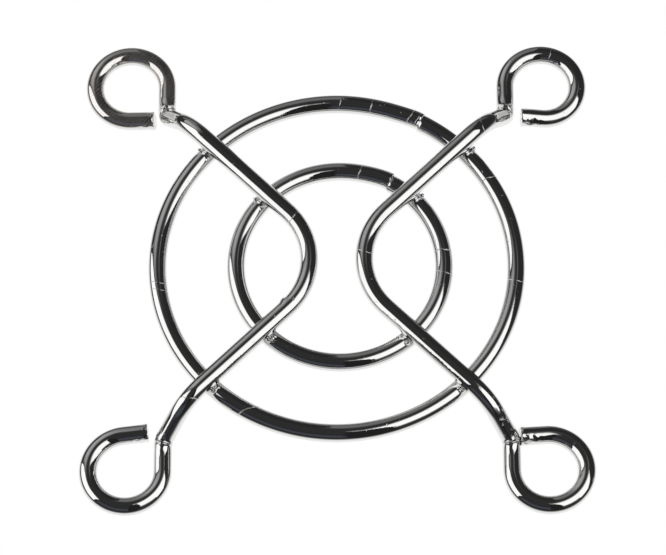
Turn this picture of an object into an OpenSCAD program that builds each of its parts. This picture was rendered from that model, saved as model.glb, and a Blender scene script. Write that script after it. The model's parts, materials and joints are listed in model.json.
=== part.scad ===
// Wire finger guard for a 40 mm axial fan.
// Two rings and two bent struts of one plated wire, joined by eight cross welds.
// The guard lies on its four screw eyes: z = 0 is the fan's face, the struts arch over the
// rings, and the rings hang below the struts. X runs left to right, Y from front to back.

/* [Fan] */
// Distance between the centres of the fan's screw holes, along each side of the square
hole_pitch = 32; // [31:0.25:34]
// Bore that each screw eye leaves for the fan's M4 screw
eye_bore = 4.3; // [4.1:0.05:4.6]

/* [Wire] */
// Diameter of the plated wire, the same for rings and struts
wire_d = 1.4; // [1.2:0.05:1.5]

/* [Rings] */
// Diameter of the outer ring, measured on the wire's centre line
outer_ring_d = 27.4; // [26.5:0.1:28]
// Diameter of the inner ring, measured on the wire's centre line
inner_ring_d = 15.9; // [15:0.1:17.5]
// How far right of the guard's middle the inner ring was laid in the welding jig
inner_ring_shift = 0.25; // [0:0.05:0.5]
// Slit that is left where the outer ring's two ends are butted
outer_butt_gap = 0.05; // [0.03:0.01:0.3]
// Slit that is left where the inner ring's two ends are butted
inner_butt_gap = 0.12; // [0.03:0.01:0.3]
// Direction of the outer ring's butt joint, seen from the ring's middle
outer_butt_angle = 63.5; // [55:0.5:80]
// Direction of the inner ring's butt joint, seen from the ring's middle
inner_butt_angle = 60.5; // [58:0.5:80]

/* [Struts] */
// Height of the struts' straights above the eyes, from centre line to centre line
strut_rise = 3.2; // [2.9:0.1:3.8]
// Angle between each straight leg and the left-right line
leg_angle = 44.4; // [43.5:0.1:45.5]
// Gap between the bows of the two struts, from centre line to centre line
bow_gap = 4.2; // [3:0.1:5]
// Bend radius of each bow, on the centre line
bow_bend = 5.6; // [4.5:0.1:6.5]
// Distance along each leg from the outer ring to the joggle's upper corner
joggle_run = 2.35; // [2.1:0.05:2.6]
// Bend radius at the top of each joggle, on the centre line
joggle_bend = 3.5; // [2.5:0.1:3.8]
// Straight leg between each eye and the foot bend where the joggle lands
eye_leg = 2.45; // [2.2:0.05:2.8]
// Bend radius of the tight foot bend, on the centre line
foot_bend = 0.85; // [0.8:0.05:1.2]

/* [Eyes] */
// Depth of the flat that the forming pin left round the inside of each eye
pin_flat = 0.04; // [0.02:0.01:0.06]
// Gap between the left strut's back tail and the leg that it points at
left_back_gap = 0.3; // [0.15:0.05:0.7]
// Gap between the left strut's front tail and the leg that it points at
left_front_gap = 0.45; // [0.15:0.05:0.7]
// Gap between the right strut's back tail and the leg that it points at
right_back_gap = 0.5; // [0.15:0.05:0.7]
// Gap between the right strut's front tail and the leg that it points at
right_front_gap = 0.2; // [0.15:0.05:0.7]

/* [Welds] */
// How far the welding electrodes pressed the struts and the rings into each other
weld_sink = 0.1; // [0.05:0.01:0.14]
// Diameter of the metal squeezed out round each weld
weld_d = 1.6; // [1.45:0.05:1.75]

/* [Hidden] */

wire_r = wire_d / 2;
outer_ring_r = outer_ring_d / 2;
inner_ring_r = inner_ring_d / 2;

// Bends come out thicker than straights by this much, and straights reach this far into
// them, so that one solid wire comes of them
bend_swell = 0.01;
bend_lap = 0.05;

// Heights of the centre lines: eyes on the fan's face, rings welded under the struts
eye_z = wire_r + bend_swell;
strut_z = eye_z + strut_rise;
ring_z = strut_z - wire_d + weld_sink;
weld_z = (strut_z + ring_z) / 2;

// Radius of each eye's centre line, and where the eyes stand
eye_r = eye_bore / 2 - pin_flat + wire_r + bend_swell;
eye_at = hole_pitch / 2;

// Corner where a strut's two legs would meet without the bow
bow_corner_x = bow_gap / 2 + bow_bend - bow_bend / sin(leg_angle);

// Relief round each weld, which keeps the squeezed-out metal of one wire off the other wire
weld_relief = 0.03;

quarter_turn = 90;
full_turn = 360;
plating = [0.80, 0.80, 0.79];
$fn = 48;

// Vectors
function unit(v) = v / norm(v);
function turn_angle(a, b, c) = acos(unit(b - a) * unit(c - b));
// Distance from corner b to the ends of its bend
function setback(a, b, c, bend_r) = bend_r * tan(turn_angle(a, b, c) / 2);
function mirrored(points, side) = [for (p = points) [p[0] * side, p[1], p[2]]];

// Distance from a strut's bow corner, along a leg, to a ring whose centre lies
// corner_x to the left of that corner
function run_to_ring(ring_r, corner_x) =
    sqrt(ring_r ^ 2 - (corner_x * sin(leg_angle)) ^ 2) - corner_x * cos(leg_angle);

// Point on a leg of the right strut, on its front (-1) or back (+1) half
function leg_point(run, half) =
    [bow_corner_x + run * cos(leg_angle), half * run * sin(leg_angle), strut_z];

// Corners of the right strut's centre line, from its back eye to its front eye
function half_corners(half) = [
    [eye_at - eye_r, half * eye_at, eye_z],
    [eye_at - eye_r, half * (eye_at - eye_leg), eye_z],
    leg_point(run_to_ring(outer_ring_r, bow_corner_x) + joggle_run, half)
];
strut_corners = [
    for (p = half_corners(1)) p,
    [bow_corner_x, 0, strut_z],
    for (i = [2:-1:0]) half_corners(-1)[i]
];
corner_bends = [foot_bend, joggle_bend, bow_bend, joggle_bend, foot_bend];

// Where the right (+1) or left (-1) strut crosses the two rings, on its back and front halves
function crossings(ring_r, ring_x, side) = mirrored([
    for (half = [1, -1]) leg_point(run_to_ring(ring_r, bow_corner_x - side * ring_x), half)
], side);
function strut_crossings(side) = concat(
    crossings(outer_ring_r, 0, side),
    crossings(inner_ring_r, inner_ring_shift, side)
);

// Straight piece of wire from one point to another, lapped into the bends at its ends
module straight(from, to) {
    run = to - from;
    translate(from - unit(run) * bend_lap)
        rotate([0, acos(run[2] / norm(run)), atan2(run[1], run[0])])
            cylinder(h = norm(run) + 2 * bend_lap, r = wire_r);
}

// Bent piece of wire that starts on the X axis and turns round the Z axis
module arc(bend_r, angle) {
    rotate_extrude(angle = angle)
        translate([bend_r, 0])
            circle(r = wire_r + bend_swell);
}

// Bend at corner b of a wire that comes from a and goes on to c
module bend(a, b, c, bend_r) {
    along = unit(b - a);
    axis = unit(cross(along, c - b));
    outward = cross(along, axis);
    centre = b - along * setback(a, b, c, bend_r) - outward * bend_r;
    multmatrix([
        [outward[0], along[0], axis[0], centre[0]],
        [outward[1], along[1], axis[1], centre[1]],
        [outward[2], along[2], axis[2], centre[2]],
        [0, 0, 0, 1]
    ])
        arc(bend_r, turn_angle(a, b, c));
}

// Wire bent round a list of corners, with one bend radius for each inner corner
module bent_wire(corners, bends) {
    last = len(corners) - 1;
    setbacks = [
        for (i = [0:last])
            i == 0 || i == last ? 0
                : setback(corners[i - 1], corners[i], corners[i + 1], bends[i - 1])
    ];
    for (i = [0:last - 1]) {
        along = unit(corners[i + 1] - corners[i]);
        straight(corners[i] + along * setbacks[i], corners[i + 1] - along * setbacks[i + 1]);
    }
    for (i = [1:last - 1])
        bend(corners[i - 1], corners[i], corners[i + 1], bends[i - 1]);
}

// Three quarters of a turn round a screw, and the tail that points back at the leg
module screw_eye(half, tail_gap) {
    tail = eye_r - wire_r - tail_gap;
    translate([eye_at, half * eye_at, eye_z])
        mirror([0, half < 0 ? 1 : 0, 0]) {
            rotate(-quarter_turn)
                arc(eye_r, 3 * quarter_turn);
            translate([bend_lap, -eye_r, 0])
                rotate([0, -quarter_turn, 0])
                    cylinder(h = bend_lap + tail, r = wire_r);
        }
}

// Bore of a screw eye, which leaves the forming pin's flat
module eye_bore_cut(half) {
    translate([eye_at, half * eye_at, -wire_d])
        cylinder(h = eye_z + 2 * wire_d, d = eye_bore);
}

// Cylinder of one weld, on the side of the weld face that direction gives
module weld_zone(point, radius, direction) {
    translate([point[0], point[1], weld_z])
        rotate([direction < 0 ? 2 * quarter_turn : 0, 0, 0])
            cylinder(h = wire_d, r = radius);
}

// Metal squeezed out round a weld, the half of it that sticks to one wire
module weld_bead(point, direction) {
    intersection() {
        translate([point[0], point[1], weld_z]) sphere(d = weld_d);
        weld_zone(point, weld_d, direction);
    }
}

// Wire with a flat weld face at each crossing; the other wire lies in the given direction
module welded(points, direction) {
    difference() {
        children();
        for (p = points) weld_zone(p, weld_d / 2 + weld_relief, direction);
    }
    for (p = points) weld_bead(p, -direction);
}

// Ring of wire whose ends are butted, not closed
module butted_ring(ring_r, butt_gap, butt_angle) {
    slit = butt_gap / ring_r * full_turn / (2 * PI);
    translate([0, 0, ring_z])
        rotate(butt_angle + slit / 2)
            rotate_extrude(angle = full_turn - slit)
                translate([ring_r, 0])
                    circle(r = wire_r);
}

// Strut on the right: eye, leg, joggle, straight, bow, and the same back to the other eye
module strut(back_gap, front_gap) {
    difference() {
        union() {
            bent_wire(strut_corners, corner_bends);
            screw_eye(1, back_gap);
            screw_eye(-1, front_gap);
        }
        for (half = [1, -1]) eye_bore_cut(half);
    }
}

module outer_ring() {
    color(plating)
        welded([for (side = [1, -1]) each crossings(outer_ring_r, 0, side)], 1)
            butted_ring(outer_ring_r, outer_butt_gap, outer_butt_angle);
}

module inner_ring() {
    color(plating)
        welded([for (side = [1, -1]) each crossings(inner_ring_r, inner_ring_shift, side)], 1)
            translate([inner_ring_shift, 0, 0])
                butted_ring(inner_ring_r, inner_butt_gap, inner_butt_angle);
}

module left_strut() {
    color(plating)
        welded(strut_crossings(-1), -1)
            mirror([1, 0, 0])
                strut(left_back_gap, left_front_gap);
}

module right_strut() {
    color(plating)
        welded(strut_crossings(1), -1)
            strut(right_back_gap, right_front_gap);
}

outer_ring();
inner_ring();
left_strut();
right_strut();
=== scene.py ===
# %% [markdown]
# # Wire finger guard for a 40 mm fan
#
# The real part is four pieces of mild steel wire, cut, bent, welded together and then plated
# bright. This lesson draws the four wires the way a bending machine makes them, gives each
# weld its squeezed-out metal, and ends with the plating and the studio that it mirrors.
#
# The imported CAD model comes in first. It is the frame that every size is taken from, and
# nothing in it is moved. Blender works in metres, and one millimetre is `MM`.

# %% Load the frame
import json
import math

import bpy
from mathutils import Matrix, Vector
from mathutils.kdtree import KDTree


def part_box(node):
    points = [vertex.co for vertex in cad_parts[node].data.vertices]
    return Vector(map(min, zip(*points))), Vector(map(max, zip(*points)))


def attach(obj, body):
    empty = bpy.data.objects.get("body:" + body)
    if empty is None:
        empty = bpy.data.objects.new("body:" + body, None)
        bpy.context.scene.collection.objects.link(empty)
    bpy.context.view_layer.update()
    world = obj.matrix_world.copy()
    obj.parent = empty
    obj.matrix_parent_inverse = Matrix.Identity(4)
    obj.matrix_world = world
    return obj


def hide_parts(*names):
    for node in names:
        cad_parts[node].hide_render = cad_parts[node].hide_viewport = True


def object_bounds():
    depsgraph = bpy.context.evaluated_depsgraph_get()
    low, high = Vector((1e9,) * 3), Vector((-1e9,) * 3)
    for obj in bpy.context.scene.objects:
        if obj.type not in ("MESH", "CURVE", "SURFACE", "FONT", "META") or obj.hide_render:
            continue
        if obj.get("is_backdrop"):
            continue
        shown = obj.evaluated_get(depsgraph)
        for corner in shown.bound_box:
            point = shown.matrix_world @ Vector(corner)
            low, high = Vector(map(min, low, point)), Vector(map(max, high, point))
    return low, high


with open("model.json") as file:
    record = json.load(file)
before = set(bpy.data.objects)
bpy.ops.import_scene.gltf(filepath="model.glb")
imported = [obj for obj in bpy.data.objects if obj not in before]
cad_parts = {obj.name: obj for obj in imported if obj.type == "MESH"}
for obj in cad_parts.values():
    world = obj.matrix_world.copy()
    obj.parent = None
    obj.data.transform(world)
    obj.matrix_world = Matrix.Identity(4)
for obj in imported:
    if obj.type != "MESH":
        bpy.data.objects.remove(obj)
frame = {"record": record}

cad_box = [list(corner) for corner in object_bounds()]
MM = 0.001


def in_mm(*lengths):
    """Metres as rounded millimetres, for printing."""
    return [round(length / MM, 3) for length in lengths]


print("CAD box in mm:", [in_mm(*corner) for corner in cad_box])

# %% [markdown]
# ## Sizes
#
# The boxes of the CAD nodes give the radius and height of each ring and the height of the
# struts, and the screw pattern gives the place of the eyes. The CAD bends are a hair thicker
# than the straights, and `BEND_SWELL` takes that off again.

# %% Read the sizes from the CAD
WIRE_R = 0.7 * MM
BEND_SWELL = 0.01 * MM

outer_lo, outer_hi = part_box("outer_ring")
inner_lo, inner_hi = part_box("inner_ring")
strut_lo, strut_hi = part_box("right_strut")
screws = frame["record"]["mounts"][0]["dims"]

OUTER_R = (outer_hi.x - outer_lo.x) / 2 - WIRE_R
INNER_R = (inner_hi.x - inner_lo.x) / 2 - WIRE_R
INNER_X = (inner_hi.x + inner_lo.x) / 2
RING_Z = outer_lo.z + WIRE_R
STRUT_Z = strut_hi.z - WIRE_R - BEND_SWELL
EYE_Z = strut_lo.z + WIRE_R + BEND_SWELL
EYE_AT = screws["spacing_x_mm"] / 2 * MM
EYE_R = strut_hi.x - EYE_AT - WIRE_R - BEND_SWELL
WELD_Z = (STRUT_Z + RING_Z) / 2
RINGS = {"outer": (OUTER_R, 0), "inner": (INNER_R, INNER_X)}
print("outer ring, inner ring and eye radius in mm:", in_mm(OUTER_R, INNER_R, EYE_R))

# %% [markdown]
# ## Bends
#
# The bends have no box of their own, so their sizes are named here. The two legs of a strut
# would meet in a corner near the guard's middle. The bow rounds that corner off, and all
# distances along a leg are taken from it. `side` says which strut is meant, and `half` which
# half of it, as signs that x and y are multiplied by.

# %% Name the sizes of the bends
SIDES, HALVES = {"left": -1, "right": 1}, {"back": 1, "front": -1}
LEG_ANGLE = math.radians(44.4)
BOW_GAP, BOW_BEND = 4.2 * MM, 5.6 * MM
JOGGLE_RUN, JOGGLE_BEND = 2.35 * MM, 3.5 * MM
EYE_LEG, FOOT_BEND = 2.45 * MM, 0.85 * MM

bow_corner_x = BOW_GAP / 2 + BOW_BEND - BOW_BEND / math.sin(LEG_ANGLE)


def run_to_ring(ring_r, corner_x):
    """Distance along a leg, from the bow corner to a ring centred corner_x to its left."""
    across = corner_x * math.sin(LEG_ANGLE)
    return math.sqrt(ring_r**2 - across**2) - corner_x * math.cos(LEG_ANGLE)


def leg_point(run, half, side):
    """Point on a leg's centre line, a distance run away from the bow corner."""
    x = bow_corner_x + run * math.cos(LEG_ANGLE)
    return Vector((side * x, half * run * math.sin(LEG_ANGLE), STRUT_Z))


print("bow corner at x, mm:", in_mm(bow_corner_x))

# %% [markdown]
# ## The camera
#
# A long lens, high over the front of the guard, keeps the rings nearly round. The camera's
# place is given by its turn, its rise and its distance, and its lens is worked out from the
# width that it should take in at that distance.

# %% Place the camera
CAMERA_TURN, CAMERA_RISE = math.radians(0.122), math.radians(66.59)
CAMERA_ROLL = math.radians(-0.309)
CAMERA_DISTANCE = 348.8 * MM
AIM = Vector((-0.294, 0.185, 0)) * MM
FRAME_WIDTH = 51.24 * MM
SENSOR_WIDTH = 36

towards = Vector((
    math.sin(CAMERA_TURN) * math.cos(CAMERA_RISE),
    -math.cos(CAMERA_TURN) * math.cos(CAMERA_RISE),
    math.sin(CAMERA_RISE),
))
level_right = Vector((math.cos(CAMERA_TURN), math.sin(CAMERA_TURN), 0))
level_up = towards.cross(level_right)
camera_right = level_right * math.cos(CAMERA_ROLL) + level_up * math.sin(CAMERA_ROLL)
camera_up = level_up * math.cos(CAMERA_ROLL) - level_right * math.sin(CAMERA_ROLL)

bpy.ops.object.select_all(action="DESELECT")
bpy.ops.object.camera_add(location=AIM + towards * CAMERA_DISTANCE)
camera = bpy.context.object
camera.name = "camera"
camera.rotation_euler = Matrix((camera_right, camera_up, towards)).transposed().to_euler()
camera.data.sensor_width = SENSOR_WIDTH
camera.data.lens = SENSOR_WIDTH * CAMERA_DISTANCE / FRAME_WIDTH
camera.data.clip_start, camera.data.clip_end = 0.01, 20
bpy.context.scene.camera = camera
bpy.context.scene.view_settings.view_transform = "Standard"
print("lens in mm:", round(camera.data.lens, 1))

# %% [markdown]
# ## Drawing wire
#
# A bending machine knows two moves: feed the wire straight, and turn it round a pin. The
# same two moves make the mesh. A circle as wide as the wire is the first cross-section. An
# extrude feeds it straight on, and a spin turns it round a pin. Each move leaves the newest
# cross-section selected, ready for the next one. Curves with a bevel would be quicker, but
# extrudes keep every ring of vertices where a tool would have touched the wire.
#
# The pen notes its path as it goes: the place, the heading and the length fed so far.

# %% The wire pen
WIRE_SIDES = 48
RING_STEP = 0.2 * MM
LARGEST_SWING = math.radians(6)
FEWEST_SWINGS = 4


class WirePen:
    """Draws one wire: starts at a place, feeds straight and turns round pins."""

    def __init__(self, name, at, heading):
        self.at, self.heading, self.fed = Vector(at), Vector(heading).normalized(), 0.0
        self.path = [(self.at.copy(), self.heading.copy(), 0.0)]
        self.begin = self.at.copy(), self.heading.copy()
        self.bends = []
        bpy.ops.object.select_all(action="DESELECT")
        bpy.ops.mesh.primitive_circle_add(
            vertices=WIRE_SIDES, radius=WIRE_R, location=self.at,
            rotation=self.heading.to_track_quat("Z", "Y").to_euler(),
        )
        self.wire = bpy.context.object
        self.wire.name = self.wire.data.name = name
        bpy.ops.object.transform_apply(location=True, rotation=True, scale=True)
        bpy.ops.object.mode_set(mode="EDIT")
        bpy.ops.mesh.select_mode(type="VERT")
        bpy.ops.mesh.select_all(action="SELECT")

    def note(self):
        """Adds the place that has been reached to the path."""
        self.path.append((self.at.copy(), self.heading.copy(), self.fed))

    def feed(self, length, step=RING_STEP):
        """Straight on, in short steps."""
        steps = max(1, math.ceil(length / step))
        for _ in range(steps):
            bpy.ops.mesh.extrude_region_move(
                TRANSFORM_OT_translate={"value": self.heading * (length / steps)}
            )
            self.at += self.heading * (length / steps)
            self.fed += length / steps
            self.note()

    def turn(self, axis, radius, angle, finer=1):
        """Round a pin: axis is the pin's direction, and the wire turns left round it."""
        axis = Vector(axis).normalized()
        pin = self.at + axis.cross(self.heading) * radius
        steps = finer * max(
            FEWEST_SWINGS, math.ceil(radius * angle / RING_STEP), math.ceil(angle / LARGEST_SWING)
        )
        bpy.ops.mesh.spin(steps=steps, angle=-angle, center=pin, axis=axis)
        swing = Matrix.Rotation(angle / steps, 3, axis)
        self.bends.append(self.fed + radius * angle / 2)
        for _ in range(steps):
            self.at = pin + swing @ (self.at - pin)
            self.heading = swing @ self.heading
            self.fed += radius * angle / steps
            self.note()


print("cross-sections have", WIRE_SIDES, "corners and are", *in_mm(RING_STEP), "mm apart or less")

# %% [markdown]
# A sheared end isn't a sharp disc. The rim is worn round by tumbling before the plating, so
# the last cross-section is extruded a little way out in steps and shrunk at each step. The
# smallest one is merged to a point, which closes the wire.

# %% Close the ends of a wire
# Each step of a rim: mm further out, and the share of its width that is left.
WORN_RIM = ((0.03, 0.985), (0.03, 0.93), (0.01, 0.75), (0, 0.66), (0, 0.5))
SHARP_EDGE = math.radians(40)
SAME_PLACE = 0.0001 * MM


def round_off(centre, outward):
    """Closes the selected end: a worn rim, a face, and a middle point."""
    for ahead, share in WORN_RIM:
        bpy.ops.mesh.extrude_region_move(TRANSFORM_OT_translate={"value": outward * ahead * MM})
        bpy.ops.transform.resize(value=(share,) * 3, center_override=centre)
    bpy.ops.mesh.merge(type="CENTER")


def finished(pen):
    """Closes both ends of the pen's wire, turns its faces outwards and hands it over."""
    round_off(pen.at, pen.heading)
    bpy.ops.mesh.select_all(action="DESELECT")
    bpy.ops.mesh.select_non_manifold(extend=False, use_wire=True, use_boundary=True)
    round_off(pen.begin[0], -pen.begin[1])
    bpy.ops.mesh.select_all(action="SELECT")
    bpy.ops.mesh.remove_doubles(threshold=SAME_PLACE)
    bpy.ops.mesh.normals_make_consistent(inside=False)
    bpy.ops.object.mode_set(mode="OBJECT")
    bpy.ops.object.shade_smooth_by_angle(angle=SHARP_EDGE)
    wire = pen.wire
    print(wire.name, "has", len(wire.data.polygons), "faces and is", *in_mm(pen.fed), "mm long")
    return wire


print("a worn rim adds mm", round(sum(ahead for ahead, _ in WORN_RIM), 3), "to each end")

# %% [markdown]
# ## Where each point was on the straight wire
#
# Drawing lines, tool marks and scuffs follow a wire round its bends. To draw them, every
# vertex is told where it lay while the wire was still straight: how far across, how far up
# and how far along, in millimetres. The numbers are kept in an attribute called `drawn`. The
# same numbers tell the later cells which vertices are near a cut end or a bend.

# %% Remember the straight wire


def remember_straight(pen, zero):
    """Writes the attribute drawn: across, up and along in mm, with along 0 nearest to zero."""
    up = [Vector((0, 0, 1))]
    for _, heading, _ in pen.path[1:]:
        last = up[-1]
        up.append((last - heading * last.dot(heading)).normalized())
    tree = KDTree(len(pen.path))
    for i, (at, _, _) in enumerate(pen.path):
        tree.insert(at, i)
    tree.balance()
    fed_at_zero = pen.path[tree.find(zero)[1]][2]
    mesh = pen.wire.data
    drawn = mesh.attributes.new("drawn", "FLOAT_VECTOR", "POINT")
    for vertex, mark in zip(mesh.vertices, drawn.data):
        i = tree.find(vertex.co)[1]
        at, heading, fed = pen.path[i]
        off = vertex.co - at
        across = up[i].cross(heading)
        along = fed - fed_at_zero + off.dot(heading)
        mark.vector = Vector((off.dot(across), off.dot(up[i]), along)) / MM
    return fed_at_zero


def distances_along(wire):
    """The distance along the wire of every vertex, in mm."""
    return [mark.vector.z for mark in wire.data.attributes["drawn"].data]


def bell(value, middle, width):
    """1 in the middle and fading to nothing on both sides."""
    return math.exp(-(((value - middle) / width) ** 2))


print("a bell falls to half at", round(math.sqrt(math.log(2)), 2), "of its width")

# %% [markdown]
# ## Two ways to mark a surface
#
# A tool either pushes metal aside in a known shape or leaves it torn. `push` moves the
# vertices of a wire by a sum that reads their places on the straight wire. `roughen`
# wrinkles a piece with a Displace modifier and a cloudy texture, only where a weight says so.

# %% Push and roughen
SKIN_AT = WIRE_R / MM
WRINKLE_LEVELS = 2
FAINTEST_WEIGHT = 0.01


def push(wire, move):
    """Moves the vertices of a wire: move(across, up, along, place) gives a shift in mm."""
    for vertex, mark in zip(wire.data.vertices, wire.data.attributes["drawn"].data):
        shift = move(*mark.vector, vertex.co)
        if shift:
            vertex.co += shift * MM
    wire.data.update()


def roughen(piece, weight, grain, depth):
    """Wrinkles a piece where weight(vertex index, place) is over 0. Sizes in mm."""
    group = piece.vertex_groups.new(name="rough")
    for vertex in piece.data.vertices:
        share = weight(vertex.index, vertex.co)
        if share > FAINTEST_WEIGHT:
            group.add([vertex.index], min(share, 1), "REPLACE")
    cloud = bpy.data.textures.new(f"{piece.name}_{grain}", "CLOUDS")
    cloud.noise_scale, cloud.noise_depth = grain * MM, WRINKLE_LEVELS
    bpy.ops.object.select_all(action="DESELECT")
    piece.select_set(True)
    bpy.context.view_layer.objects.active = piece
    wrinkle = piece.modifiers.new("wrinkle", "DISPLACE")
    wrinkle.texture, wrinkle.vertex_group = cloud, "rough"
    wrinkle.strength, wrinkle.mid_level, wrinkle.texture_coords = depth * MM, 0.5, "LOCAL"
    bpy.ops.object.modifier_apply(modifier="wrinkle")
    piece.vertex_groups.clear()


print("the skin of a straight wire is mm", SKIN_AT, "from its middle")

# %% [markdown]
# ## The two rings
#
# Each ring is one straight piece of wire rolled into a circle, with its ends butted and not
# quite closed. One turn of the pen makes it. The slit stays open, and one end stands a
# little proud of the other, because springy wire never closes exactly. The shear has left
# both ends torn.

# %% Roll the rings
# Each joint: its direction in degrees from the right, and the width of its slit.
BUTT_JOINTS = {"outer": (61.5, 0.05 * MM), "inner": (60.5, 0.12 * MM)}
PROUD_END_LENGTH = 1.6
RING_TEAR_LENGTH, RING_TEAR_GRAIN, RING_TEAR_DEPTH = 0.28, 0.22, 0.1


def rolled_ring(name, ring_r, centre_x, joint_angle, joint_gap, step):
    """A ring whose slit lies at joint_angle. One end steps out of line by step, in mm."""
    slit = joint_gap / ring_r
    begin = math.radians(joint_angle) + slit / 2
    out = Vector((math.cos(begin), math.sin(begin), 0))
    centre = Vector((centre_x, 0, RING_Z))
    pen = WirePen(name, centre + out * ring_r, (-out.y, out.x, 0))
    pen.turn((0, 0, 1), ring_r, math.tau - slit)
    ring = finished(pen)
    remember_straight(pen, centre + Vector((ring_r, 0, 0)))
    first = -math.tau * ring_r / MM + begin * ring_r / MM
    push(ring, lambda across, up, along, at: step * bell(along, first, PROUD_END_LENGTH))
    ends = (first, first + pen.fed / MM)
    along = distances_along(ring)
    roughen(
        ring, lambda i, at: max(bell(along[i], end, RING_TEAR_LENGTH) for end in ends),
        RING_TEAR_GRAIN, RING_TEAR_DEPTH,
    )
    return ring


outer_ring_wire = rolled_ring(
    "outer_ring_wire", *RINGS["outer"], *BUTT_JOINTS["outer"], Vector((0.05, 0.09, 0.02))
)
inner_ring_wire = rolled_ring(
    "inner_ring_wire", *RINGS["inner"], *BUTT_JOINTS["inner"], Vector((0.04, 0.1, 0.05))
)

# %% [markdown]
# ## The two struts
#
# A strut is one wire too. It starts at a tail, turns three quarters round a pin to make a
# screw eye, drops into the leg, is kicked up by the tight foot bend, lies level after the
# joggle, and turns round the bow. The second half is the same in mirror order. A list of
# corners with one bend radius for each is how a bender would write it down.

# %% Plan the corners


def bend_plan(side):
    """Corners and bend radii of a strut's centre line, from back eye to front eye."""
    def half_plan(half):
        return [
            Vector((side * (EYE_AT - EYE_R), half * EYE_AT, EYE_Z)),
            Vector((side * (EYE_AT - EYE_R), half * (EYE_AT - EYE_LEG), EYE_Z)),
            leg_point(run_to_ring(OUTER_R, bow_corner_x) + JOGGLE_RUN, half, side),
        ]

    bow_corner = Vector((side * bow_corner_x, 0, STRUT_Z))
    corners = half_plan(1) + [bow_corner] + half_plan(-1)[::-1]
    return corners, [FOOT_BEND, JOGGLE_BEND, BOW_BEND, JOGGLE_BEND, FOOT_BEND]


print("a strut has", len(bend_plan(1)[0]), "corners and", len(bend_plan(1)[1]), "bends")

# %% [markdown]
# ## Screw eyes
#
# An eye is three quarters of a turn round a screw, and a short tail that points back at the
# leg. Wire springs back as the pin lets it go, so no eye is quite flat: its last part climbs,
# like the start of a coil spring, and the tail rises above the fan. Each of the four springs
# back differently, so the rise, the turn and the gap in front of each tail have their own
# value. The climb is a second turn, round a pin that leans.

# %% Turn the eyes
TAIL_LIFTS = {"left": {1: 2, -1: 7}, "right": {1: 11, -1: 4}}
EYE_TURNS = {"left": {1: 270, -1: 266}, "right": {1: 270, -1: 275}}
TAIL_GAPS = {
    "left": {1: 0.3 * MM, -1: 0.45 * MM},
    "right": {1: 0.5 * MM, -1: 0.2 * MM},
}
TAIL_EXTRA = {"left": {1: 0.0, -1: 0.2 * MM}, "right": {1: 0.0, -1: 0.0}}
LIFT_ARC = math.radians(60)
TAIL_STEP = 0.08 * MM


def tail_length(name, half):
    """How long a tail is, so that its gap to the leg comes out right."""
    return EYE_R - WIRE_R - TAIL_GAPS[name][half] + TAIL_EXTRA[name][half]


def eye_moves(side, half, tail, lift, turned):
    """Moves from the leg round the eye: level first, then rising to the tail, and the tail."""
    axis = Vector((0, 0, -side * half))
    leg = Vector((0, half, 0))
    level = Matrix.Rotation(turned - LIFT_ARC, 3, axis) @ leg
    flat_tail = Matrix.Rotation(turned, 3, axis) @ leg
    rising = flat_tail * math.cos(lift) + Vector((0, 0, math.sin(lift)))
    return [
        ("turn", axis, EYE_R, turned - LIFT_ARC),
        ("turn", level.cross(rising), EYE_R, level.angle(rising)),
        ("feed", tail, TAIL_STEP),
    ]


def walk(at, heading, moves):
    """Where a list of moves ends, and the heading there."""
    for kind, *how in moves:
        if kind == "feed":
            at = at + heading * how[0]
        else:
            axis, radius, angle = how[0].normalized(), how[1], how[2]
            pin = at + axis.cross(heading) * radius
            swing = Matrix.Rotation(angle, 3, axis)
            at, heading = pin + swing @ (at - pin), swing @ heading
    return at, heading


for name in SIDES:
    print(name, "tails in mm, back and front:", in_mm(*(tail_length(name, h) for h in (1, -1))))

# %% [markdown]
# The pen starts at the tip of the back tail, so the moves of the back eye are worked out
# from the leg first and then taken in reverse order, with each pin turned over. The tight
# foot bends get twice as many cross-sections, because the folds need them later.

# %% Bend a strut


def bent_strut(name, side, tails, lifts, turns):
    """One strut of wire, with its bends and its ends as distances along it, in mm."""
    eyes = {
        half: eye_moves(
            side, half, tails[half], math.radians(lifts[half]), math.radians(turns[half])
        )
        for half in (1, -1)
    }
    corners, bends = bend_plan(side)
    start, heading = walk(corners[0], Vector((0, 1, 0)), eyes[1])
    pen = WirePen(name, start, -heading)
    for kind, *how in reversed(eyes[1]):
        if kind == "feed":
            pen.feed(*how)
        else:
            pen.turn(-how[0], how[1], how[2])
    for corner, following, bend_r in zip(corners[1:], corners[2:], bends):
        ahead = (following - corner).normalized()
        angle = pen.heading.angle(ahead)
        setback = bend_r * math.tan(angle / 2)
        pen.feed((corner - pen.at).length - setback)
        finer = 2 if bend_r == FOOT_BEND else 1
        pen.turn(pen.heading.cross(ahead), bend_r, angle, finer)
    pen.feed((corners[-1] - pen.at).length)
    for kind, *how in eyes[-1]:
        getattr(pen, kind)(*how)
    wire = finished(pen)
    zero = remember_straight(pen, Vector((side * BOW_GAP / 2, 0, STRUT_Z)))
    return wire, [(bend - zero) / MM for bend in pen.bends], [-zero / MM, (pen.fed - zero) / MM]


strut_wires, bends_along, ends_along = {}, {}, {}
for name, side in SIDES.items():
    strut_wires[name], bends_along[name], ends_along[name] = bent_strut(
        f"{name}_strut_wire", side, {half: tail_length(name, half) for half in (1, -1)},
        TAIL_LIFTS[name], EYE_TURNS[name],
    )
    print(name, "bends at mm", [round(b, 2) for b in bends_along[name]])
left_strut_wire, right_strut_wire = strut_wires["left"], strut_wires["right"]

# %% [markdown]
# ## Sheared tails
#
# A shear cuts each tail off at a slant and leaves a torn lip. It also clamps the tail while
# it cuts, and the clamp's teeth press into the front of it. The slant is a push that leans
# the end face over. The lip and the tooth marks are rough patches of two sizes of grain.

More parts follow.
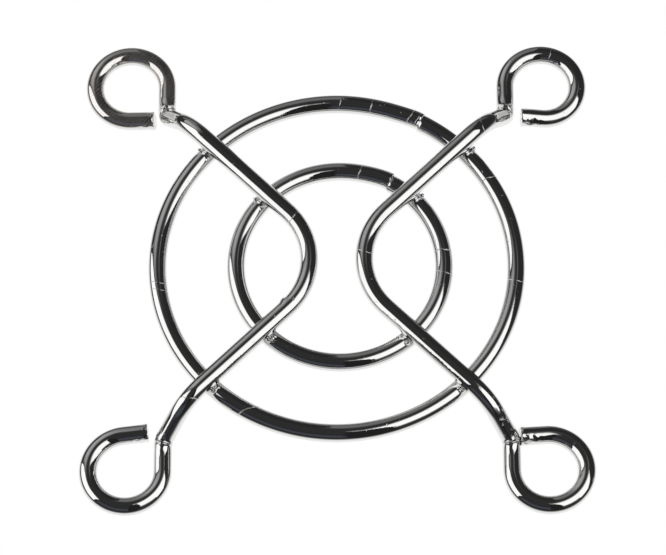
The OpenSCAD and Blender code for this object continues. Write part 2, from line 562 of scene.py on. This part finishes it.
# %% Shear the ends
# How far each end face leans, back and front, in mm across the wire.
SLANTS = {"left": (0.12, -0.04), "right": (-0.05, 0.08)}
SLANT_LENGTH = 0.25
LIP_LENGTH, LIP_GRAIN, LIP_DEPTH, LIP_SHARE = 0.32, 0.2, 0.13, 0.9
CLAMP_LENGTH, CLAMP_GRAIN, CLAMP_DEPTH = 1.3, 0.3, 0.16
CLAMP_EDGE, CLAMP_START = 4, 1.2


def shear_ends(wire, side, ends, slants):
    """Leans and tears both ends of a strut, and presses the clamp's teeth into its tails."""
    for end, slant in zip(ends, slants):
        push(wire, lambda across, up, along, at: Vector(
            (side * slant * up / SKIN_AT * bell(along, end, SLANT_LENGTH), 0, 0)
        ))
    along = distances_along(wire)
    tail_y = EYE_AT - EYE_R

    def near_end(i, length):
        return max(bell(along[i], end, length) for end in ends)

    def pressed(i, at):
        in_front = (math.copysign(tail_y, at.y) - at.y) / WIRE_R
        grip = max(0.0, min(1.0, in_front * CLAMP_EDGE - CLAMP_START))
        return near_end(i, CLAMP_LENGTH) * grip

    roughen(wire, lambda i, at: LIP_SHARE * near_end(i, LIP_LENGTH), LIP_GRAIN, LIP_DEPTH)
    roughen(wire, pressed, CLAMP_GRAIN, CLAMP_DEPTH)


for name, side in SIDES.items():
    shear_ends(strut_wires[name], side, ends_along[name], SLANTS[name])
    print(name, "tails sheared at mm", [round(end, 2) for end in ends_along[name]])

# %% [markdown]
# ## Puckered feet and a burr
#
# The foot bend is tighter than the wire is thick. The metal on its inside has nowhere to go,
# so it swells and folds, and the plating picks the folds out. A swelling is pushed up first,
# with short ridges across it, and the folds are then roughened. The bending pin has also
# pinched up one small burr on the inside of the left bow.

# %% Fold the feet
SWELL_AT, SWELL_LENGTH, SWELL_HIGH = -0.25, 0.5, 0.24
SWELL_OUT, SWELL_UP = 0.6, 0.8
RIDGE_LENGTH, RIDGE_HIGH, RIDGE_RADIANS_PER_MM = 0.3, 0.035, 16
FOLD_LENGTH, FOLD_GRAIN, FOLD_DEPTH = 0.45, 0.3, 0.14
BACK_FOOT, FRONT_FOOT = 2, 6


def crease_feet(wire, feet):
    """Swells and folds the inside of the foot bends, given as distances along the wire."""
    distances = distances_along(wire)

    def fold(across, up, along, at):
        foot = min(feet, key=lambda f: abs(along - f))
        half = 1 if foot < 0 else -1
        on_leg = (along - foot) * half
        swell = bell(on_leg, SWELL_AT, SWELL_LENGTH) * max(0.0, up / SKIN_AT)
        if swell < FAINTEST_WEIGHT:
            return None
        wave = math.cos((along - foot) * RIDGE_RADIANS_PER_MM)
        ridge = RIDGE_HIGH * wave * bell(on_leg, 0, RIDGE_LENGTH)
        return Vector((0, SWELL_OUT * half, SWELL_UP)) * (SWELL_HIGH * swell + ridge)

    push(wire, fold)
    roughen(
        wire, lambda i, at: max(bell(distances[i], foot, FOLD_LENGTH) for foot in feet),
        FOLD_GRAIN, FOLD_DEPTH,
    )


for name in SIDES:
    feet = bends_along[name][BACK_FOOT], bends_along[name][FRONT_FOOT]
    crease_feet(strut_wires[name], feet)
    print(name, "feet folded at mm", [round(foot, 2) for foot in feet])

# %% Pinch up the burr
BURR_AT, BURR_LENGTH, BURR_HIGH, BURR_SHARPNESS = 4.2, 0.2, 0.14, 4
towards_pin = Vector((-0.73, 0.68, 0.15))


def burr(across, up, along, at):
    """A peak on the inside of the bow, where the wire left the bending pin."""
    inside = max(0.0, -across / SKIN_AT) ** BURR_SHARPNESS
    return towards_pin * (BURR_HIGH * bell(along, BURR_AT, BURR_LENGTH) * inside)


push(left_strut_wire, burr)
print("burr raised by mm", BURR_HIGH)

# %% [markdown]
# ## The welds
#
# The struts are laid across the rings and each crossing is pressed between two electrodes.
# The wires sink into each other, and the hot metal that has nowhere to go is squeezed out
# round the joint, most of it in front of the strut. The plating then fills the corners. A
# short stub of each wire, with beads of metal at the corner, is remeshed into one skin and
# smoothed: the outside of the stubs draws in under the wires, and only the filled corner
# stays in sight. Wrinkles are then raised on the part that stands clear of the wires, because
# squeezed metal freezes rough.

# %% Lay out a crossing
RING_STUB, STRUT_STUB = 1.5 * MM, 0.95 * MM


def crossing(ring_r, ring_x, half, side):
    """Place of a crossing and the headings of its ring and strut there."""
    at = leg_point(run_to_ring(ring_r, bow_corner_x - side * ring_x), half, side)
    out = Vector((at.x - ring_x, at.y, 0)).normalized()
    leg = Vector((side * math.cos(LEG_ANGLE), half * math.sin(LEG_ANGLE), 0))
    return at, Vector((-out.y, out.x, 0)), leg


def ring_stub(ring_r, ring_x, at):
    """A short arc of ring wire about a crossing."""
    reach = RING_STUB / ring_r
    centre = Vector((ring_x, 0, RING_Z))
    begin = Matrix.Rotation(-reach, 3, "Z") @ (Vector((at.x, at.y, RING_Z)) - centre)
    heading = Vector((-begin.y, begin.x, 0)).normalized()
    pen = WirePen("stub", centre + begin, heading)
    pen.turn((0, 0, 1), ring_r, 2 * reach)
    return finished(pen)


def clear_of_wires(place, at, ring_r, ring_x, strut_heading):
    """How far a place stands off both wires, in mm."""
    off_ring = math.hypot(math.hypot(place.x - ring_x, place.y) - ring_r, place.z - RING_Z)
    from_strut = place - Vector((at.x, at.y, STRUT_Z))
    off_strut = (from_strut - strut_heading * from_strut.dot(strut_heading)).length
    return (min(off_ring, off_strut) - WIRE_R) / MM


print("right back crossing at mm", in_mm(*crossing(OUTER_R, 0, 1, 1)[0]))

# %% [markdown]
# One skin over stubs and beads comes from a voxel remesh. The Smooth modifier after it does
# the filling: hollow corners fill up and round sides shrink away.

# %% Fill a corner with weld metal
WELD_VOXEL = 0.04 * MM
FILL_SHARE, FILL_PASSES = 0.5, 20
WELD_GRAIN = 0.18
CLEAR_BY, CLEAR_RISE = 0.015, 12


def weld_metal(name, at, ring_r, ring_x, ring_heading, strut_heading, beads, roughness):
    """Filled corner of one crossing. beads: (along ring, along strut, height, size) in mm."""
    stubs = [ring_stub(ring_r, ring_x, at)]
    bpy.ops.object.select_all(action="DESELECT")
    bpy.ops.mesh.primitive_cylinder_add(
        vertices=WIRE_SIDES, radius=WIRE_R, depth=2 * STRUT_STUB, location=(at.x, at.y, STRUT_Z),
        rotation=strut_heading.to_track_quat("Z", "Y").to_euler(),
    )
    stubs.append(bpy.context.object)
    for along_ring, along_strut, height, size in beads:
        place = at + ring_heading * along_ring * MM + strut_heading * along_strut * MM
        bpy.ops.mesh.primitive_ico_sphere_add(
            subdivisions=3, radius=size * MM, location=(place.x, place.y, WELD_Z + height * MM)
        )
        stubs.append(bpy.context.object)
    for stub in stubs:
        stub.select_set(True)
    bpy.context.view_layer.objects.active = stubs[0]
    bpy.ops.object.join()
    weld = bpy.context.object
    weld.name = weld.data.name = name
    bpy.ops.object.transform_apply(location=True, rotation=True, scale=True)
    skin = weld.modifiers.new("skin", "REMESH")
    skin.mode, skin.voxel_size, skin.adaptivity = "VOXEL", WELD_VOXEL, 0
    bpy.ops.object.modifier_apply(modifier="skin")
    fill = weld.modifiers.new("fill", "SMOOTH")
    fill.factor, fill.iterations = FILL_SHARE, FILL_PASSES
    bpy.ops.object.modifier_apply(modifier="fill")

    def frozen(i, place):
        return CLEAR_RISE * (clear_of_wires(place, at, ring_r, ring_x, strut_heading) - CLEAR_BY)

    roughen(weld, frozen, WELD_GRAIN, roughness)
    bpy.ops.object.shade_smooth()
    return weld


print("weld skin is made of cubes of mm", *in_mm(WELD_VOXEL))

# %% [markdown]
# Every weld came out differently. The table gives each crossing its beads, measured from the
# crossing: along the ring with the front of the strut as plus, along the strut away from the
# middle, up, and the bead's radius. The last number is how deep the wrinkles are. The nugget
# between the wires is the same for all.

# %% Squeeze out the weld metal
SQUEEZED = {
    ("outer", "left", "back"): ([(0.80, 0.45, 0.10, 0.17), (0.9, -0.45, -0.15, 0.12)], 0.10),
    ("outer", "left", "front"): ([(0.80, 0.42, 0.12, 0.21), (0.62, 0.1, 0.05, 0.2)], 0.13),
    ("outer", "right", "back"): ([(0.82, 0.48, 0.10, 0.20), (0.74, 0.25, 0.12, 0.14)], 0.13),
    ("outer", "right", "front"): ([(0.80, 0.46, 0.08, 0.18), (0.75, 0.15, 0.1, 0.13)], 0.11),
    ("inner", "left", "back"): ([(0.78, 0.40, 0.08, 0.17), (0.9, -0.4, -0.12, 0.16)], 0.10),
    ("inner", "left", "front"): ([(0.78, 0.42, 0.14, 0.22), (0.7, 0.1, 0.1, 0.15)], 0.12),
    ("inner", "right", "back"): ([(0.82, 0.44, 0.10, 0.17), (0.74, 0.2, 0.1, 0.1)], 0.09),
    ("inner", "right", "front"): ([(0.80, 0.40, 0.06, 0.18), (0.95, -0.45, -0.15, 0.18)], 0.08),
}
NUGGET = (0.0, 0.0, 0.0, 0.62)

welds = []
for (ring, side_name, half_name), (beads, roughness) in SQUEEZED.items():
    ring_r, ring_x = RINGS[ring]
    side, half = SIDES[side_name], HALVES[half_name]
    at, ring_heading, strut_heading = crossing(ring_r, ring_x, half, side)
    weld = weld_metal(
        f"weld_{ring}_{side_name}_{half_name}", at, ring_r, ring_x,
        ring_heading * -side, strut_heading, [NUGGET] + beads, roughness,
    )
    welds.append((weld, ring))
print("welds:", len(welds), "with about", len(welds[0][0].data.polygons), "faces each")

# %% [markdown]
# ## Shader maths
#
# A material is a net of nodes, and long sums are hard to read as a net. A small class wraps
# a node's socket so that a sum can be written as it would be on paper. A second one adds
# the nodes that aren't sums.

# %% Sums on sockets


class Wired:
    """A socket that takes part in sums. Plain numbers may stand on either side of it."""

    def __init__(self, tree, socket):
        self.tree, self.socket = tree, socket

    def plug_into(self, slot):
        self.tree.links.new(self.socket, slot)

    def maths(self, operation, *values):
        node = self.tree.nodes.new("ShaderNodeMath")
        node.operation = operation
        for slot, value in zip(node.inputs, values):
            set_socket(slot, value)
        return Wired(self.tree, node.outputs[0])

    def __add__(self, other): return self.maths("ADD", self, other)
    def __radd__(self, other): return self.maths("ADD", other, self)
    def __sub__(self, other): return self.maths("SUBTRACT", self, other)
    def __rsub__(self, other): return self.maths("SUBTRACT", other, self)
    def __mul__(self, other): return self.maths("MULTIPLY", self, other)
    def __rmul__(self, other): return self.maths("MULTIPLY", other, self)
    def __abs__(self): return self.maths("ABSOLUTE", self)


def set_socket(slot, value):
    """Puts a number, a colour or another node's socket into a slot."""
    if isinstance(value, Wired):
        value.plug_into(slot)
    else:
        slot.default_value = value


print("sockets now take part in +, -, * and abs")

# %% The node bench
FIRST_COLOUR, SECOND_COLOUR, MIXED_COLOUR = 6, 7, 2


class Bench:
    """A node tree being filled in."""

    def __init__(self, tree):
        self.tree = tree

    def node(self, kind, settings=(), sockets=(), out=0):
        """Adds a node: its settings first, then its sockets, and gives one output back."""
        made = self.tree.nodes.new(kind)
        for name, value in dict(settings).items():
            setattr(made, name, value)
        for name, value in dict(sockets).items():
            set_socket(made.inputs[name], value)
        return Wired(self.tree, made.outputs[out]) if made.outputs else None

    def parts(self, vector):
        """The three numbers of a vector."""
        split = self.node("ShaderNodeSeparateXYZ", {}, {"Vector": vector}).socket.node
        return [Wired(self.tree, split.outputs[axis]) for axis in "XYZ"]

    def vectors(self, operation, first, second, out="Vector"):
        """A sum on two vectors."""
        return self.node(
            "ShaderNodeVectorMath", {"operation": operation}, {0: first, 1: second}, out
        )

    def noise(self, place, scale, detail=2.0):
        """Cloudy noise from 0 to 1."""
        return self.node(
            "ShaderNodeTexNoise", {}, {"Vector": place, "Scale": scale, "Detail": detail}, "Fac"
        )

    def smooth(self, value, low, high):
        """0 at low, 1 at high, and a soft curve between them."""
        return self.node(
            "ShaderNodeMapRange", {"interpolation_type": "SMOOTHSTEP"},
            {"Value": value, "From Min": low, "From Max": high}, "Result",
        )

    def mix(self, share, first, second):
        """Two colours mixed: all first where share is 0, all second where it is 1."""
        return self.node(
            "ShaderNodeMix", {"data_type": "RGBA"},
            {"Factor": share, FIRST_COLOUR: first, SECOND_COLOUR: second}, MIXED_COLOUR,
        )

    def surface(self, shader):
        """Plugs a shader into the material's output."""
        self.node("ShaderNodeOutputMaterial", {}, {"Surface": shader})


def new_material(name):
    """An empty material and the bench for its nodes."""
    material = bpy.data.materials.new(name)
    material.use_nodes = True
    material.node_tree.nodes.clear()
    return material, Bench(material.node_tree)


print("the bench helps with vectors, noise, steps and colours")

# %% [markdown]
# ## The plating
#
# Bright plating has almost no colour of its own, and what it shows is the room. It still
# tells how the wire was made. Faint lines run along it from the drawing die, long soft waves
# come from the straightening rolls, and the bright nickel under the chrome leaves pits and
# cloudy patches. All of this is small, so it is bump and roughness, laid out on the attribute
# `drawn` so that it follows the wire round its bends. Heights are in millimetres.

# %% The skin of drawn wire
# Each kind of mark: the factor on its distance along the wire, its scale and its detail.
DIE_LINES, ROLL_WAVES = (0.05, 7, 2.0), (0.6, 0.8, 1.0)
FINE_GRAIN, CLOUDS = (1, 5, 3.0), (0.3, 1.1, 2.0)
WAVE_HIGH, LINE_HIGH, GRAIN_HIGH, PIT_DEEP = 0.010, 0.0016, 0.0012, 0.006


def drawn_out(bench, drawn, stretch, scale, detail):
    """Noise, drawn out along the wire where stretch is under 1."""
    return bench.noise(bench.vectors("MULTIPLY", drawn, (1, 1, stretch)), scale, detail)


def wire_skin(bench, drawn, pits):
    """Height of the skin and the share of it that is cloudy."""
    lines, waves = drawn_out(bench, drawn, *DIE_LINES), drawn_out(bench, drawn, *ROLL_WAVES)
    grain = drawn_out(bench, drawn, *FINE_GRAIN)
    cloudy = bench.smooth(drawn_out(bench, drawn, *CLOUDS), 0.5, 0.75)
    height = waves * WAVE_HIGH + lines * LINE_HIGH + grain * GRAIN_HIGH - pits * PIT_DEEP
    return height, cloudy


print("the deepest regular mark is mm", max(WAVE_HIGH, LINE_HIGH, GRAIN_HIGH, PIT_DEEP))

# %% [markdown]
# Three kinds of damage come on top. A nick is a short scratch that a tool has left across the
# wire. Pits crowd where the bath was dirty, on one side of one leg. Fine parallel lines cover
# one eye, which somebody has touched up on a polishing belt: they cut through the chrome, so
# the steel under it shows a little brown.

# %% Nicks, crowded pits and polishing lines
NICK_FLOOR = 0.3
PIT_SCALE, PIT_EDGE = 3.2, (0.70, 0.76)
CROWD_EDGE, CROWD_SCALE, CROWD_PIT_EDGE, CROWD_DEPTH = 0.6, 3.6, (0.62, 0.70), 7
LAY = (0.72, -0.64, -0.28)
LAY_PITCH, LAY_WOBBLE = 0.21 * MM, 6
WOBBLE_SCALE, PATCH_SCALE = 1.1, 0.9
POLISH_EDGE, LEAST_POLISH = 1.5, 0.08


def nick(bench, across, up, along, at, lean, width, depth):
    """A scratch across the wire at a distance along it, in mm. It leans by lean mm per mm."""
    off = abs(along - at - across * lean)
    return bench.smooth(off, width, width * NICK_FLOOR) * bench.smooth(up, -0.1, 0.15) * depth


def crowded_pits(bench, drawn, first, last):
    """More and deeper pits on one side of the wire, from first to last mm along it."""
    across, _, along = bench.parts(drawn)
    stretch = bench.smooth(along, first, first + CROWD_EDGE)
    stretch = stretch * bench.smooth(along, last, last - CROWD_EDGE)
    speck = bench.smooth(bench.noise(drawn, CROWD_SCALE, 1.0), *CROWD_PIT_EDGE)
    return stretch * (speck * bench.smooth(across, -0.1, 0.2)) * CROWD_DEPTH


def polishing_lines(bench, drawn, begin):
    """Parallel lines over the top of the wire, on the side of begin that ends at the tail."""
    _, up, along = bench.parts(drawn)
    place = bench.node("ShaderNodeTexCoord", out="Object")
    lay = bench.vectors("DOT_PRODUCT", place, LAY, "Value") * (math.tau / LAY_PITCH)
    wobble = bench.noise(drawn, WOBBLE_SCALE) * LAY_WOBBLE
    ripple = bench.node("ShaderNodeMath", {"operation": "SINE"}, {0: lay + wobble}) * 0.5 + 0.5
    patchy = bench.smooth(bench.noise(drawn, PATCH_SCALE), 0.2, 0.5)
    patchy = patchy * bench.smooth(up, 0.05, 0.35)
    zone = patchy * bench.smooth(along, begin + POLISH_EDGE, begin - POLISH_EDGE)
    return zone * (bench.smooth(ripple, 0.3, 0.9) * (1 - LEAST_POLISH) + LEAST_POLISH)


print("polishing lines are mm", *in_mm(LAY_PITCH), "apart")

# %% [markdown]
# The whole plating is one Principled shader. Where the lines have cut through the chrome it
# is a little less metallic, which is what makes them catch light in the dark reflections.

# %% The plating material
STEEL_GREY, CLOUDED_GREY = (0.80, 0.80, 0.79, 1), (0.74, 0.74, 0.745, 1)
MIRROR_ROUGHNESS, CLOUD_ROUGHNESS, PIT_ROUGHNESS = 0.030, 0.03, 0.05
NICK_DEEP, NICK_ROUGHNESS = 0.03, 0.25
BARE_ROUGHNESS, BARE_SHARE, BARE_TINT = 0.04, 0.22, 0.8
BARE_STEEL = (0.86, 0.77, 0.72, 1)


def plated_wire(name, nicks, polished=None, pitted=None):
    """Plating with its nicks. polished: mm along where the polishing lines begin. pitted:
    first and last mm of the pitted stretch."""
    material, bench = new_material(name)
    drawn = bench.node("ShaderNodeAttribute", {"attribute_name": "drawn"}, out="Vector")
    across, up, along = bench.parts(drawn)
    pits = bench.smooth(bench.noise(drawn, PIT_SCALE), *PIT_EDGE)
    if pitted is not None:
        pits = pits + crowded_pits(bench, drawn, *pitted)
    height, cloudy = wire_skin(bench, drawn, pits)
    scratched = sum(nick(bench, across, up, along, *mark) for mark in nicks)
    height = height + scratched * NICK_DEEP
    rough = MIRROR_ROUGHNESS + cloudy * CLOUD_ROUGHNESS + pits * PIT_ROUGHNESS
    rough = rough + scratched * NICK_ROUGHNESS
    colour = bench.mix(cloudy * 0.5 + pits * 0.2, STEEL_GREY, CLOUDED_GREY)
    metal = 1.0
    if polished is not None:
        hatch = polishing_lines(bench, drawn, polished)
        rough = rough + hatch * BARE_ROUGHNESS
        metal = 1 - hatch * BARE_SHARE
        colour = bench.mix(hatch * BARE_TINT, colour, BARE_STEEL)
    dents = bench.node("ShaderNodeBump", {}, {"Strength": 1.0, "Distance": MM, "Height": height})
    bench.surface(bench.node("ShaderNodeBsdfPrincipled", {}, {
        "Base Color": colour, "Metallic": metal, "Roughness": rough, "Normal": dents,
    }))
    return material


print("the mirror's own roughness is", MIRROR_ROUGHNESS)

# %% [markdown]
# Each nick is a place along its wire, a lean, a half width and a depth. On the rings the
# place is given by its angle, which is easier to read, and turned into a distance along the
# wire. The wire starts at the butt joint, so an angle past the joint counts backwards.

# %% List the nicks


def ring_nicks(ring, marks):
    """Nicks on a ring, from (degrees from the right, lean, half width, depth)."""
    ring_r, joint = RINGS[ring][0], BUTT_JOINTS[ring][0]
    return [
        (math.radians(angle - 360 if angle > joint else angle) * ring_r / MM, *cut)
        for angle, *cut in marks
    ]


outer_nicks = ring_nicks("outer", (
    (65.4, 0.2, 0.055, 1.0), (62.9, 0.1, 0.035, 0.4), (78.7, 0.1, 0.045, 0.5),
    (88.9, 0.3, 0.05, 0.25), (241.2, 0.8, 0.06, 1.0), (187.0, 0.3, 0.045, 0.25),
    (189.5, 0.3, 0.045, 0.2), (31.5, 0.2, 0.05, 0.5), (354.2, 0.1, 0.05, 0.4),
))
inner_nicks = ring_nicks("inner", (
    (78.6, 0.2, 0.05, 0.7), (8.1, 0.1, 0.06, 0.6), (354.8, 0.2, 0.05, 0.5),
))
left_nicks = [(-3.8, -0.3, 0.05, 0.45), (14.6, -0.6, 0.05, 0.3)]
right_nicks = [(-0.6, 0.3, 0.05, 0.3), (-14.9, 0.5, 0.05, 0.4), (-26.8, 0.0, 0.04, 0.2)]
POLISHED_FROM = -19.5
PITTED_STRETCH = (15.4, 18.8)
print("nicks:", [len(nicks) for nicks in (outer_nicks, inner_nicks, left_nicks, right_nicks)])

# %% Plate the wires


def give(piece, material):
    """Makes this the piece's only material."""
    piece.data.materials.clear()
    piece.data.materials.append(material)


for wire, nicks, damage in (
    (outer_ring_wire, outer_nicks, {}), (inner_ring_wire, inner_nicks, {}),
    (left_strut_wire, left_nicks, {"polished": POLISHED_FROM}),
    (right_strut_wire, right_nicks, {"pitted": PITTED_STRETCH}),
):
    give(wire, plated_wire(wire.name.replace("wire", "plating"), nicks, **damage))
    print("plated", wire.name)

# %% [markdown]
# Weld metal froze rough and was plated as it was, so its bright skin is rippled and cloudy.
# It never was a straight wire, so its noise is laid out on Object coordinates instead.

# %% Plate the welds
RIPPLE_SIZE, RIPPLE_HIGH = 0.28 * MM, 0.05
SPECK_SIZE, SPECK_HIGH = 0.09 * MM, 0.006
WELD_ROUGHNESS, DULL_ROUGHNESS = 0.05, 0.08
DULL_GREY = (0.72, 0.72, 0.73, 1)


def plated_weld(name):
    """Rippled plating with dull patches."""
    material, bench = new_material(name)
    place = bench.node("ShaderNodeTexCoord", out="Object")
    coarse = bench.noise(place, 1 / RIPPLE_SIZE, 2.0)
    fine = bench.noise(place, 1 / SPECK_SIZE, 1.0)
    dents = bench.node("ShaderNodeBump", {}, {
        "Strength": 1.0, "Distance": MM, "Height": coarse * RIPPLE_HIGH + fine * SPECK_HIGH,
    })
    dull = bench.smooth(coarse, 0.5, 0.7)
    bench.surface(bench.node("ShaderNodeBsdfPrincipled", {}, {
        "Base Color": bench.mix(dull, STEEL_GREY, DULL_GREY), "Metallic": 1.0,
        "Roughness": WELD_ROUGHNESS + dull * DULL_ROUGHNESS, "Normal": dents,
    }))
    return material


weld_skin = plated_weld("weld_plating")
for weld, _ in welds:
    give(weld, weld_skin)
print("plated welds:", len(welds))

# %% [markdown]
# ## The studio
#
# Chrome shows nothing but what stands round it, so the studio is most of the picture. The
# guard lies on a white board in a dark room. A softbox hangs on the right in front, another
# stands on the left, and a grey wall catches some light behind. The camera itself sees a
# white room, which the chrome doesn't.

# %% The dark room
ROOM_LEVEL = 0.032
WHITE = (1, 1, 1, 1)
world = bpy.data.worlds.new("dark_room")
bpy.context.scene.world = world
world.use_nodes = True
background = world.node_tree.nodes["Background"]
seen = Bench(world.node_tree).node("ShaderNodeLightPath", out="Is Camera Ray")
(seen * (1 - ROOM_LEVEL) + ROOM_LEVEL).plug_into(background.inputs["Strength"])
background.inputs["Color"].default_value = WHITE
print("the room's light level is", ROOM_LEVEL)

# %% [markdown]
# Every light is a glowing sheet round the guard. Its corners are directions: the turn from
# the right-hand side, to the left as plus, and the rise above the board. The brightness
# changes over the sheet with `u` from its first column to its last and `v` from its lowest
# row to its highest, because a real softbox fades towards its edges. Sheets can hide the ones
# behind them, so two of them are black cloths that cut a clean edge.

# %% Glowing sheets


def direction(turn, rise):
    """A unit vector from the guard's middle."""
    a, e = math.radians(turn), math.radians(rise)
    return Vector((math.cos(a) * math.cos(e), math.sin(a) * math.cos(e), math.sin(e)))


def sheet_of_light(name, rows, distance, glow, tint=WHITE):
    """A sheet through rows of directions, lowest row first; glow(bench, u, v) is its light."""
    columns = len(rows[0])
    bpy.ops.object.select_all(action="DESELECT")
    bpy.ops.mesh.primitive_grid_add(
        x_subdivisions=columns - 1, y_subdivisions=len(rows) - 1, size=1
    )
    sheet = bpy.context.object
    sheet.name = sheet.data.name = name
    for vertex, corner in zip(sheet.data.vertices, (c for row in rows for c in row)):
        vertex.co = direction(*corner) * distance
    sheet.visible_camera = False
    material, bench = new_material(name)
    u, v, _ = bench.parts(bench.node("ShaderNodeTexCoord", out="UV"))
    light = {"Color": tint, "Strength": glow(bench, u, v)}
    bench.surface(bench.node("ShaderNodeEmission", {}, light))
    sheet.data.materials.append(material)
    sheet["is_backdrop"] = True
    print(name, "hung at m", distance)


# %% Hang the softbox in front
SOFTBOX, FRONT_RIM = 1.22, 0.55


def front_glow(b, u, v):
    """Full light, a dimmer rim at the top, and three soft edges."""
    edges = b.smooth(u, 0, 0.02) * b.smooth(u, 1, 0.96) * b.smooth(v, 0, 0.12)
    rim = FRONT_RIM * b.smooth(v, 1, 0.96)
    return edges * (rim + (SOFTBOX - FRONT_RIM) * b.smooth(v, 0.97, 0.84))


def spill_glow(b, u, v):
    """Stray light over the softbox, brightest in its middle."""
    columns = 0.47 * b.smooth(u, 0, 0.12) * b.smooth(u, 1, 0.35)
    return 0.03 + columns * b.smooth(v, 1, 0.3) * b.smooth(v, 0, 0.25)


sheet_of_light(
    "front_softbox",
    [[(-62.5, 17), (-46, 15), (-30, 13), (-12, 13)],
     [(-62.5, 45), (-45, 44), (-20, 42), (9, 36)],
     [(-62.5, 82), (-35, 86), (20, 84), (44, 60)]], 1.0, front_glow,
)
sheet_of_light(
    "front_softbox_skirt",
    [[(-64, 14), (-45, 12), (-31, 7)],
     [(-64, 36), (-45, 33), (-31, 28)]], 0.9, lambda b, u, v: 0.03 + 0.55 * v * v * v,
)
sheet_of_light(
    "softbox_spill",
    [[(-75, 74), (-22, 70), (20, 62), (48, 52), (82, 60)],
     [(-75, 89), (-22, 89), (20, 89), (60, 88), (88, 82)]], 1.1, spill_glow,
)

# %% Stand the softbox on the left
LEFT_RIM = 0.22


def left_glow(b, u, v):
    """Full light down to the board, a dim rim at the top, and two sharp sides."""
    edges = b.smooth(u, 0, 0.02) * b.smooth(u, 1, 0.985)
    rim = LEFT_RIM * b.smooth(v, 1, 0.88)
    return edges * (rim + (SOFTBOX - LEFT_RIM) * b.smooth(v, 0.92, 0.80))


sheet_of_light(
    "left_softbox",
    [[(-149, 3), (180, 0), (152.5, 0)],
     [(-149, 54), (180, 59), (152.5, 59)]], 1.0, left_glow,
)

# %% Put up the grey walls


def wall_glow(b, u, v):
    """An even grey with a brighter patch, fading upwards."""
    even = 0.14 * b.smooth(u, 1, 0.98)
    patch = 0.23 * b.smooth(u, 0.02, 0.3) * b.smooth(u, 0.85, 0.45)
    return 0.03 + b.smooth(v, 1, 0.5) * (even + patch)


sheet_of_light(
    "grey_wall",
    [[(150, 14), (120, 14), (88, 14)],
     [(150, 68), (120, 68), (88, 62)]], 1.4, wall_glow,
)
sheet_of_light(
    "low_wall",
    [[(120, -12), (88, -12), (58, -12)],
     [(120, 16), (88, 16), (58, 16)]], 1.5,
    lambda b, u, v: 0.03 + 0.13 * b.smooth(u, 1, 0.4) * b.smooth(v, 1.2, 0.6),
)

# %% Hang the cloths
COLD = (0.86, 0.92, 1.12, 1)


def dim_glow(b, u, v):
    """Hardly any light, and soft edges all round."""
    rows = 0.05 * b.smooth(v, 1, 0.5) * b.smooth(v, 0, 0.3)
    return 0.02 + rows * b.smooth(u, 0, 0.1) * b.smooth(u, 1, 0.9)


sheet_of_light(
    "black_cloth_right",
    [[(88, 0), (45, 0), (-5, 0)], [(88, 60), (45, 60), (0, 60)]], 1.7, lambda b, u, v: 0.025,
)
sheet_of_light(
    "black_cloth_front",
    [[(-63, 0), (-86, 0)], [(-63, 74), (-86, 74)]], 1.7, lambda b, u, v: 0.018,
)
sheet_of_light(
    "dim_front",
    [[(-84, 4), (-120, 4), (-148, 4)], [(-84, 48), (-120, 50), (-148, 50)]], 1.7, dim_glow, COLD,
)

# %% [markdown]
# ## The white board
#
# The board has to look white and still take the guard's soft shadow, so the camera sees
# nearly all glow and a little paint. In the chrome it glows too, but less and less towards
# the horizon, as a board that is lit from above looks from low down.

# %% Lay the board
BOARD_SIZE, BOARD_BELOW = 4, 0.02 * MM
BOARD_SHOWN = 0.96
BOARD_MIRRORED, BOARD_LEAST = 0.95, 0.03
BOARD_PAINT = (0.9, 0.9, 0.9, 1)
DIM_SLANT, FULL_SLANT = 0.86, 0.36

bpy.ops.object.select_all(action="DESELECT")
bpy.ops.mesh.primitive_plane_add(size=BOARD_SIZE, location=(0, 0, -BOARD_BELOW))
board = bpy.context.object
board.name = board.data.name = "white_board"
material, bench = new_material("white_board")
seen = bench.node("ShaderNodeLightPath", out="Is Camera Ray")
mirrored = bench.node("ShaderNodeLightPath", out="Is Glossy Ray")
slant = bench.node("ShaderNodeLayerWeight", {}, {"Blend": 0.5}, "Facing")
face_on = bench.smooth(slant, DIM_SLANT, FULL_SLANT)
white = bench.node("ShaderNodeEmission", {}, {
    "Color": WHITE, "Strength": seen + mirrored * face_on * BOARD_MIRRORED + BOARD_LEAST,
})
paint = bench.node("ShaderNodeBsdfDiffuse", {}, {"Color": BOARD_PAINT})
bench.surface(bench.node("ShaderNodeMixShader", {}, {
    0: seen * BOARD_SHOWN + mirrored, 1: paint, 2: white,
}))
board.data.materials.append(material)
board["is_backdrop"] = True
print("board is m", BOARD_SIZE, "wide")

# %% [markdown]
# ## Handing over
#
# Each wire stands for its CAD node and rides on the one body of the part. The weld metal
# rides with them.

# %% Tie the pieces to the frame
for wire, node in (
    (outer_ring_wire, "outer_ring"), (inner_ring_wire, "inner_ring"),
    (left_strut_wire, "left_strut"), (right_strut_wire, "right_strut"),
):
    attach(wire, "root")
    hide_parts(node)
for weld, ring in welds:
    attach(weld, "root")

visual_box = [list(corner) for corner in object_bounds()]
print("visual box in mm:", [in_mm(*corner) for corner in visual_box])
